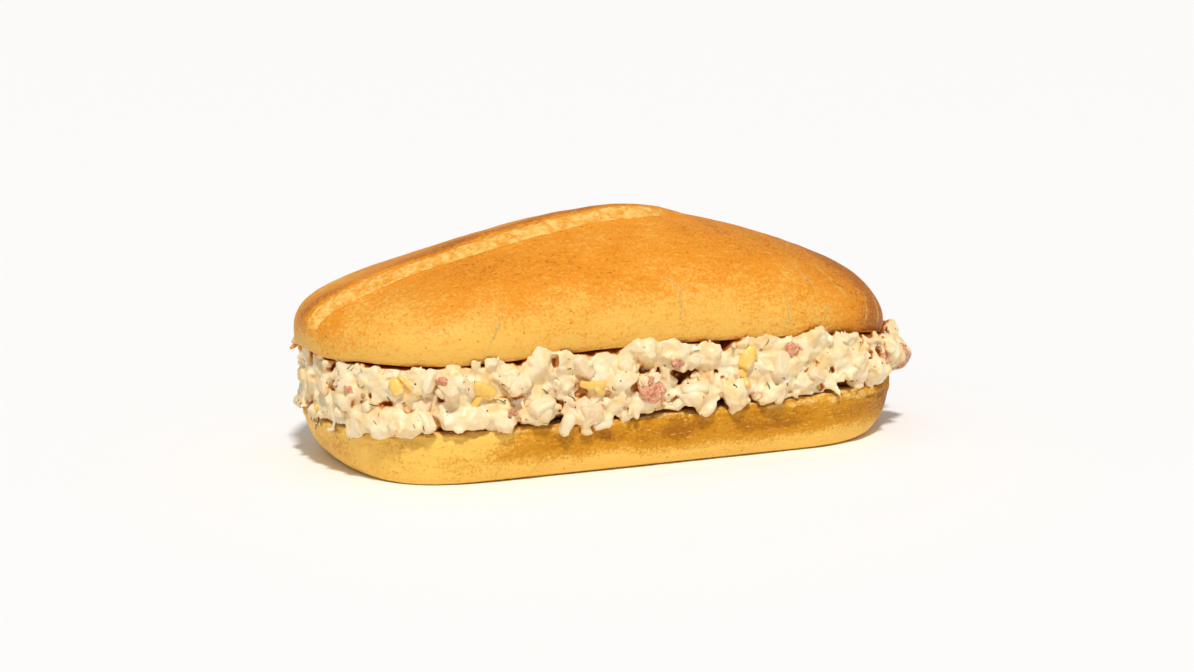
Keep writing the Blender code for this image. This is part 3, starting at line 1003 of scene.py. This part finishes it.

# ---------------------------------------------------------------------------------------------
# What is stirred into the dressing: fried bacon bits, shreds of orange cheese, shreds of chicken
# breast, snipped dill and cracked pepper. Each bit lies half sunk in the surface. The ones seen
# first are listed one by one, and more of each kind are strewn over the rest of the edge.


TUCK_IN_SOCKETS = (
    ("Places", "Geometry"),
    ("Front surface", "Object"),
    ("Back surface", "Object"),
    ("Shapes", "Collection"),
    ("Density", "Float"),
    ("Behind", "Float"),
    ("Seed", "Int"),
    ("Smallest", "Float"),
    ("Largest", "Float"),
    ("Sink", "Float"),
    ("Tilt", "Float"),
    ("Look", "Material"),
)


def tuck_in_tree():
    """Geometry nodes that snap places to a surface, strew more, and sink a shape in at each."""
    tree = bpy.data.node_groups.new("tuck_in_bits", "GeometryNodeTree")
    for label, kind in TUCK_IN_SOCKETS:
        tree.interface.new_socket(label, in_out="INPUT", socket_type="NodeSocket" + kind)
    tree.interface.new_socket("Bits", in_out="OUTPUT", socket_type="NodeSocketGeometry")
    make = Recipe(tree)
    given = make.add("NodeGroupInput").outputs

    def stored(name, kind="FLOAT"):
        return make.add("GeometryNodeInputNamedAttribute", {"data_type": kind}, Name=name).outputs[0]

    def store(geometry, name, value, kind="FLOAT", domain="POINT"):
        settings = {"data_type": kind, "domain": domain}
        node = make.add("GeometryNodeStoreNamedAttribute", settings, Geometry=geometry, Name=name)
        make.put(node.inputs["Value"], value)
        return node.outputs[0]

    def join(*parts):
        node = make.add("GeometryNodeJoinGeometry")
        for part in parts:
            make.put(node.inputs[0], part)
        return node.outputs[0]

    def chance(low, high, shift, kind="FLOAT"):
        node = make.add("FunctionNodeRandomValue", {"data_type": kind})
        first = {"FLOAT": 2, "INT": 4}[kind]
        make.put(node.inputs[first], low)
        make.put(node.inputs[first + 1], high)
        make.put(node.inputs["Seed"], make.plus(given["Seed"], shift))
        return node.outputs[{"FLOAT": 1, "INT": 2}[kind]]

    def above(a, b):
        return make.add("FunctionNodeCompare", {"operation": "GREATER_THAN"}, i0=a, i1=b).outputs[0]

    def by_hand_or(name, value):
        """What a listed place gives, or the random value where it gives nothing."""
        switch = make.add("GeometryNodeSwitch", {"input_type": "FLOAT"}, Switch=above(stored(name), 0.0))
        make.put(switch.inputs["False"], value)
        make.put(switch.inputs["True"], stored(name))
        return switch.outputs[0]

    sides = (given["Front surface"], given["Back surface"])
    sides = [make.add("GeometryNodeObjectInfo", Object=side).outputs["Geometry"] for side in sides]
    surface = join(*sides)
    position = make.add("GeometryNodeInputPosition").outputs[0]
    y = make.add("ShaderNodeSeparateXYZ", Vector=position).outputs["Y"]
    where = make.add("FunctionNodeBooleanMath", {"operation": "AND"}, i0=above(y, given["Behind"]))
    make.put(where.inputs[1], above(stored("open"), 0.5))
    strewn = make.add("GeometryNodeDistributePointsOnFaces", Mesh=surface, Selection=where.outputs[0])
    make.put(strewn.inputs["Density"], given["Density"])
    make.put(strewn.inputs["Seed"], given["Seed"])
    by_hand = make.add("GeometryNodeMeshToPoints", Mesh=given["Places"])
    places = join(by_hand.outputs[0], strewn.outputs["Points"])
    nearest = make.add("GeometryNodeSampleNearestSurface", {"data_type": "FLOAT_VECTOR"}, Mesh=surface)
    make.put(nearest.inputs["Value"], make.add("GeometryNodeInputNormal").outputs[0])
    places = store(places, "facing", nearest.outputs["Value"], "FLOAT_VECTOR")
    facing, scale = stored("facing", "FLOAT_VECTOR"), stored("scale")
    places = store(places, "scale", by_hand_or("size", chance(given["Smallest"], given["Largest"], 1)))
    on_surface = make.add("GeometryNodeProximity", {"target_element": "FACES"}, i0=surface)
    depth = make.times(make.times(given["Sink"], scale), -1.0)
    inward = make.add("ShaderNodeVectorMath", {"operation": "SCALE"}, Vector=facing, Scale=depth)
    spot = make.add("ShaderNodeVectorMath", {"operation": "ADD"}, i0=on_surface.outputs["Position"])
    make.put(spot.inputs[1], inward.outputs[0])
    sunk = make.add("GeometryNodeSetPosition", Geometry=places, Position=spot.outputs[0])
    out = make.add("FunctionNodeAlignRotationToVector", {"axis": "Z"}, Vector=facing)
    spin = by_hand_or("spin", chance(0.0, 2 * math.pi, 2))
    lean = make.times(given["Tilt"], -1.0)
    x, y = (chance(lean, given["Tilt"], shift) for shift in (3, 4))
    turns = make.add("ShaderNodeCombineXYZ", X=x, Y=y, Z=spin)
    turn = make.add("FunctionNodeEulerToRotation", Euler=turns.outputs[0])
    turned = make.add("FunctionNodeRotateRotation", {"rotation_space": "LOCAL"}, Rotation=out.outputs[0])
    make.put(turned.inputs["Rotate By"], turn.outputs[0])
    shapes = make.add("GeometryNodeCollectionInfo", Collection=given["Shapes"])
    shapes.inputs["Separate Children"].default_value = True
    shapes.inputs["Reset Children"].default_value = True
    bits = make.add("GeometryNodeInstanceOnPoints", Points=sunk.outputs[0], Instance=shapes.outputs[0])
    bits.inputs["Pick Instance"].default_value = True
    make.put(bits.inputs["Instance Index"], by_hand_or("kind", chance(0, 11, 5, "INT")))
    make.put(bits.inputs["Rotation"], turned.outputs[0])
    make.put(bits.inputs["Scale"], scale)
    toned = store(bits.outputs[0], "tone", chance(0.0, 1.0, 6), domain="INSTANCE")
    whole = make.add("GeometryNodeRealizeInstances", Geometry=toned)
    dressed = make.add("GeometryNodeSetMaterial", Geometry=whole.outputs[0], Material=given["Look"])
    make.put(make.add("NodeGroupOutput").inputs[0], dressed.outputs[0])
    return tree


def tuck_in(name, shapes, places, look, **amounts):
    """One piece of all the bits of one kind. A place is x, y, z, size, spin in degrees and kind."""
    mesh = bpy.data.meshes.new(name)
    mesh.from_pydata([tuple(v * MM for v in place[:3]) for place in places], [], [])
    for index, label in ((3, "size"), (4, "spin"), (5, "kind")):
        values = np.array([place[index] for place in places], np.float32)
        if label == "spin":
            values = np.radians(values % 360) + 0.001
        mesh.attributes.new(label, "FLOAT", "POINT").data.foreach_set("value", values)
    obj = put_in_scene(name + "_places", mesh)
    box = bpy.data.collections.new(name + "_shapes")
    for index, shape in enumerate(shapes):
        box.objects.link(bpy.data.objects.new(f"{name}_shape_{index:02d}", shape))
    modifier = obj.modifiers.new("tuck_in", "NODES")
    modifier.node_group = TUCK_IN
    sockets = {item.name: item.identifier for item in TUCK_IN.interface.items_tree if item.in_out == "INPUT"}
    settings = {"Front surface": salad_front, "Back surface": salad_back, "Shapes": box, "Look": look}
    settings.update({"Behind": -1.0}, **amounts)
    for label, value in settings.items():
        modifier[sockets[label]] = value
    piece = to_mesh(obj, name)
    for shape in list(box.objects):
        bpy.data.objects.remove(shape)
    bpy.data.collections.remove(box)
    piece.data.shade_smooth()
    goes_with_salad(piece)


def bar(name, length, width, thickness, bend, seed, stations=9, sides=8, taper=0.25, rough=0.12):
    """A short bar lying along X, bent sideways through an angle, with uneven sides."""
    rng = np.random.default_rng(seed)
    points, faces = [], []
    for i in range(stations):
        along = i / (stations - 1)
        turn = bend * (along - 0.5)
        reach = length * (along - 0.5)
        radius = length / bend if bend else 0.0
        x, y = (radius * math.sin(turn), radius * (1 - math.cos(turn))) if bend else (reach, 0.0)
        slim = 1 - taper * abs(2 * along - 1) ** 3
        for k in range(sides):
            angle = 2 * math.pi * (k + 0.5) / sides
            across = math.copysign(abs(math.cos(angle)) ** 0.5, math.cos(angle)) * width / 2 * slim
            up = math.copysign(abs(math.sin(angle)) ** 0.5, math.sin(angle)) * thickness / 2 * slim
            uneven = 1 + rough * rng.uniform(-1, 1)
            across, up = across * uneven, up * uneven
            points.append((x - across * math.sin(turn), y + across * math.cos(turn), up))
    for i in range(stations - 1):
        for k in range(sides):
            n = (k + 1) % sides
            faces.append((i * sides + k, (i + 1) * sides + k, (i + 1) * sides + n, i * sides + n))
    faces.append(tuple(range(sides)))
    faces.append(tuple((stations - 1) * sides + k for k in reversed(range(sides))))
    mesh = bpy.data.meshes.new(name)
    mesh.from_pydata([tuple(v * MM for v in p) for p in points], [], faces)
    return outward_mesh(mesh)


def outward_mesh(mesh):
    builder = bmesh.new()
    builder.from_mesh(mesh)
    bmesh.ops.recalc_face_normals(builder, faces=builder.faces)
    builder.to_mesh(mesh)
    builder.free()
    mesh.shade_smooth()
    return mesh


def chunk(name, half_sizes, roundness, rough, grain, seed, cuts=6):
    """A knobbly piece between a box and an ellipsoid, its roughness drawn out along the grain."""
    builder = bmesh.new()
    bmesh.ops.create_cube(builder, size=2.0)
    bmesh.ops.subdivide_edges(builder, edges=builder.edges, cuts=cuts, use_grid_fill=True)
    mesh = bpy.data.meshes.new(name)
    builder.to_mesh(mesh)
    builder.free()
    points = get_points(mesh)
    ball = points / np.linalg.norm(points, axis=1)[:, None]
    shape = (points * (1 - roundness) * 0.85 + ball * roundness) * np.array(half_sizes)
    spot = shape * np.array((1 / grain, 1.0, 1.0)) + 40.0 * seed
    wrinkle = noise(spot, 1.5, seed) * 0.6 + (1 - 2 * np.abs(noise(spot, 0.9, seed + 1))) * 0.4
    bulge = noise(shape + 17.0 * seed, 3.0, seed + 2)
    set_points(mesh, (shape + ball * (wrinkle * rough + bulge * rough * 1.6)[:, None]) * MM)
    return outward_mesh(mesh)


def bit_material(name, colours, spots, scale, stretch, roughness, bump_depth, subsurface):
    """Two colours mixed from bit to bit and in fine streaks, with spots of a third."""
    material, make, shader = new_material(name)
    place = make.place()
    drawn = make.add("ShaderNodeMapping", Vector=place, Scale=stretch)
    streaks = make.noise(drawn.outputs[0], scale, 3.0, 0.6, 0.3)
    lean = make.plus(make.times(make.mask("tone"), 0.5), make.minus(streaks, 0.25))
    colour = make.mix(make.ramp(lean, 0.25, 0.75), *colours)
    spotted = make.ramp(make.noise(place, scale * 1.7, 2.0), 0.56, 0.66)
    colour = make.mix(make.times(spotted, spots[1]), colour, spots[0])
    set_surface(
        make, shader, colour, make.ramp(streaks, 0.3, 0.7, roughness - 0.08, roughness + 0.12),
        (streaks, 0.6, bump_depth), (subsurface, (1.0, 0.5, 0.25), 0.8 * MM),
    )
    return material


TUCK_IN = tuck_in_tree()

CHICKEN_PLACES = (
    (-84.5, -9.0, 22.0, 1.0, 20, 1),
    (-68.0, -35.5, 22.0, 0.9, 160, 2),
    (-44.5, -41.0, 27.0, 1.0, 70, 3),
    (-37.0, -41.0, 21.0, 1.1, 10, 4),
    (-24.0, -41.0, 29.5, 1.0, 150, 1),
    (-12.0, -41.5, 30.0, 0.9, 40, 2),
    (8.5, -41.0, 22.0, 1.1, 170, 3),
    (34.0, -42.0, 26.0, 1.1, 80, 4),
    (47.0, -40.0, 23.0, 1.0, 20, 1),
    (58.0, -39.0, 25.0, 0.9, 140, 2),
    (73.0, -30.0, 26.0, 0.9, 60, 3),
)
BACON_PLACES = (
    (-82.4, -21.0, 25.0, 0.75, 80, 1),
    (-80.5, -23.5, 23.4, 0.55, 20, 2),
    (-63.8, -37.8, 28.6, 0.62, 5, 3),
    (-63.3, -38.8, 25.6, 1.10, 100, 4),
    (-44.6, -41.6, 20.0, 0.50, 30, 5),
    (-4.6, -41.0, 22.9, 1.20, 15, 5),
    (-1.9, -41.0, 24.6, 0.95, 60, 2),
    (-5.4, -40.8, 25.4, 0.80, 110, 4),
    (0.5, -41.0, 20.6, 0.75, 120, 1),
    (3.3, -41.1, 27.8, 1.15, 150, 2),
    (38.6, -39.8, 29.2, 0.70, 45, 3),
    (70.2, -32.2, 22.2, 0.80, 70, 5),
    (80.4, -24.1, 19.8, 1.35, 120, 3),
)
CHEDDAR_PLACES = (
    (-73.8, -31.2, 27.2, 1.4, 95, 4),
    (-71.2, -33.1, 27.4, 0.9, 80, 6),
    (-52.8, -41.1, 26.0, 1.4, 150, 3),
    (-54.6, -40.8, 24.6, 0.9, 30, 6),
    (-21.6, -41.4, 24.1, 1.30, 335, 1),
    (-19.5, -41.4, 23.0, 0.85, 320, 3),
    (24.0, -40.3, 28.6, 1.45, 60, 3),
    (27.2, -40.9, 28.6, 0.8, 110, 5),
    (23.2, -41.2, 24.4, 1.0, 75, 4),
    (24.6, -41.2, 22.6, 0.9, 100, 3),
    (83.4, -8.4, 25.5, 0.9, 80, 2),
    (85.5, -12.1, 22.1, 0.7, 20, 5),
)
DILL_PLACES = (
    (-78.9, -27.4, 21.6, 1.1, 130, 1),
    (-76.4, -29.7, 22.8, 1.1, 20, 2),
    (-72.5, -32.5, 22.6, 0.9, 10, 3),
    (-57.4, -39.9, 29.4, 0.9, 75, 4),
    (-56.7, -40.3, 27.8, 1.0, 65, 1),
    (-48.0, -41.0, 27.5, 0.8, 100, 2),
    (-29.0, -40.5, 29.5, 0.9, 170, 3),
    (20.0, -40.6, 20.5, 1.0, 110, 2),
    (29.4, -41.5, 20.1, 0.9, 70, 4),
    (35.7, -41.7, 19.6, 1.0, 150, 1),
    (50.0, -39.5, 22.0, 0.9, 60, 3),
)

chicken_shapes = [
    chunk(f"chicken_{i}", half, 0.55, 0.45, 4.0, 50 + i)
    for i, half in enumerate(((3.6, 2.4, 2.0), (4.4, 2.0, 1.8), (3.0, 2.6, 2.2), (3.9, 1.7, 1.7)))
]
tuck_in(
    "chicken_shreds", chicken_shapes, CHICKEN_PLACES,
    bit_material(
        "poached_chicken", (srgb(244, 224, 184), srgb(238, 204, 156)), (srgb(248, 232, 196), 0.6),
        500.0, (0.4, 1.0, 1.0), 0.45, 0.3 * MM, 0.3,
    ),
    Density=2600.0, Seed=3, Smallest=0.6, Largest=1.1, Sink=1.4 * MM, Tilt=0.7,
)
bacon_shapes = [
    chunk(f"bacon_{i}", half, 0.45, 0.95, 1.6, 60 + i, cuts=8)
    for i, half in enumerate(
        ((2.6, 1.9, 1.1), (2.2, 2.0, 0.9), (2.9, 1.6, 1.0), (2.4, 2.2, 1.2), (1.9, 1.6, 1.0), (2.8, 2.3, 1.5))
    )
]
tuck_in(
    "bacon_bits", bacon_shapes, BACON_PLACES,
    bit_material(
        "fried_bacon", (srgb(228, 164, 122), srgb(162, 58, 32)), (srgb(244, 208, 164), 0.8),
        1100.0, (0.6, 1.0, 1.0), 0.38, 0.5 * MM, 0.05,
    ),
    Density=2300.0, Seed=11, Behind=-18 * MM, Smallest=0.5, Largest=1.0, Sink=0.8 * MM, Tilt=0.5,
)
cheddar_shapes = [
    bar(f"cheddar_{i}", length, width, thick, bend, 70 + i)
    for i, (length, width, thick, bend) in enumerate(
        (
            (8.5, 2.4, 1.3, 0.5), (6.5, 1.7, 1.2, 0.9), (7.5, 2.0, 1.3, -0.6),
            (4.6, 2.8, 1.6, 0.2), (3.2, 2.4, 1.6, 0.1), (2.6, 2.2, 1.5, 0.1),
        )
    )
]
tuck_in(
    "cheddar_shreds", cheddar_shapes, CHEDDAR_PLACES,
    bit_material(
        "orange_cheddar", (srgb(250, 200, 98), srgb(240, 158, 46)), (srgb(250, 226, 176), 0.55),
        330.0, (1.0, 1.0, 1.0), 0.40, 0.12 * MM, 0.25,
    ),
    Density=2600.0, Seed=21, Behind=-18 * MM, Smallest=0.6, Largest=1.0, Sink=0.1 * MM, Tilt=0.45,
)
dill_shapes = [
    bar(f"dill_{i}", length, 0.32, 0.26, bend, 80 + i, stations=5, sides=4, taper=0.6)
    for i, (length, bend) in enumerate(((3.4, 1.1), (2.6, -0.8), (1.9, 0.6), (1.3, -0.5)))
]
tuck_in(
    "snipped_dill", dill_shapes, DILL_PLACES,
    bit_material(
        "dill", (srgb(132, 136, 76), srgb(72, 84, 40)), (srgb(160, 158, 100), 0.5),
        500.0, (1.0, 1.0, 1.0), 0.5, 0.05 * MM, 0.1,
    ),
    Density=10000.0, Seed=31, Smallest=0.4, Largest=0.95, Sink=-0.05 * MM, Tilt=0.35,
)
pepper_shapes = [
    chunk(f"pepper_{i}", (size, size * 0.8, size * 0.5), 0.2, 0.05, 1.0, 90 + i, cuts=1)
    for i, size in enumerate((0.16, 0.22, 0.30))
]
tuck_in(
    "cracked_pepper", pepper_shapes, ((-52.0, -41.0, 21.0, 1.0, 10, 1),),
    bit_material(
        "black_pepper", (srgb(96, 76, 56), srgb(44, 36, 30)), (srgb(150, 120, 90), 0.3),
        900.0, (1.0, 1.0, 1.0), 0.6, 0.02 * MM, 0.0,
    ),
    Density=14000.0, Seed=41, Smallest=0.6, Largest=1.2, Sink=0.0, Tilt=0.5,
)
